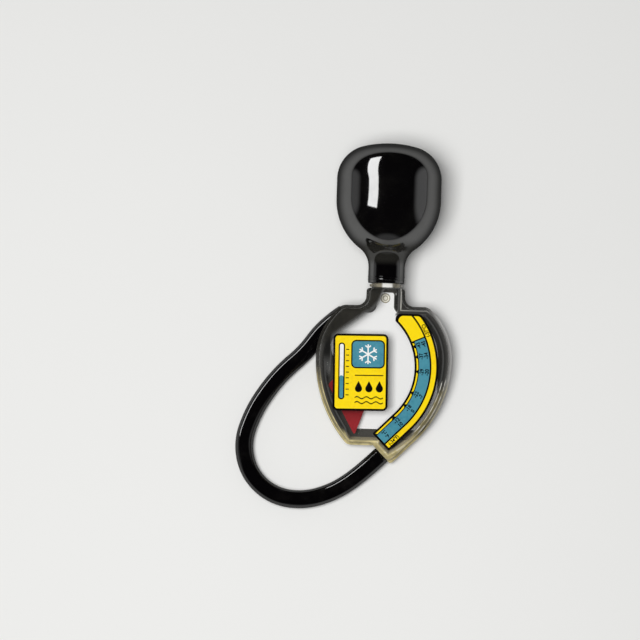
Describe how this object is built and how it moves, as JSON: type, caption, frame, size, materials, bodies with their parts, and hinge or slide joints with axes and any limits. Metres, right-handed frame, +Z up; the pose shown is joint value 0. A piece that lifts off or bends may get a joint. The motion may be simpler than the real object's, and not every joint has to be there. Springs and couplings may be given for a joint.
{
  "type": "antifreeze tester",
  "caption": "Antifreeze tester: squeeze bulb over a flat clear float chamber with a swinging pointer, printed arc scale and a curled suction hose, lying on its back.",
  "frame": {"origin": "under the middle of the body's length, on the surface that the tester lies on", "axes": "+Z up, +Y along the tester towards the bulb, +X to the right seen from above with the bulb at the top"},
  "size_m": [0.1144, 0.1932, 0.057],
  "materials": {
    "bulb_vinyl": "smooth gloss",
    "clear_plastic": "clear gloss",
    "rear_clear_plastic": "clear gloss, seen dark",
    "white_plastic": "satin",
    "red_plastic": "satin",
    "slug_brass": "turned",
    "pin_steel": "ground",
    "scale_film": "printed film",
    "panel_film": "printed film",
    "hose_rubber": "smooth gloss"
  },
  "bodies": {
    "housing": {"squeeze_bulb": "bulb_vinyl", "front_shell": "clear_plastic", "rear_shell": "rear_clear_plastic", "dial_plate": "white_plastic", "pivot_pin": "pin_steel", "scale_label": "scale_film", "front_label": "panel_film", "hose": "hose_rubber"},
    "pointer": {"pointer": "red_plastic", "ballast_slug": "slug_brass"}
  },
  "joints": [
    {"name": "pointer_swing", "type": "hinge", "parent": "housing", "child": "pointer", "pos_m": [-0.0172, -0.03206, 0.01387], "axis": [0, -0.1569, 0.9876], "range_deg": [-2, 135]}
  ]
}
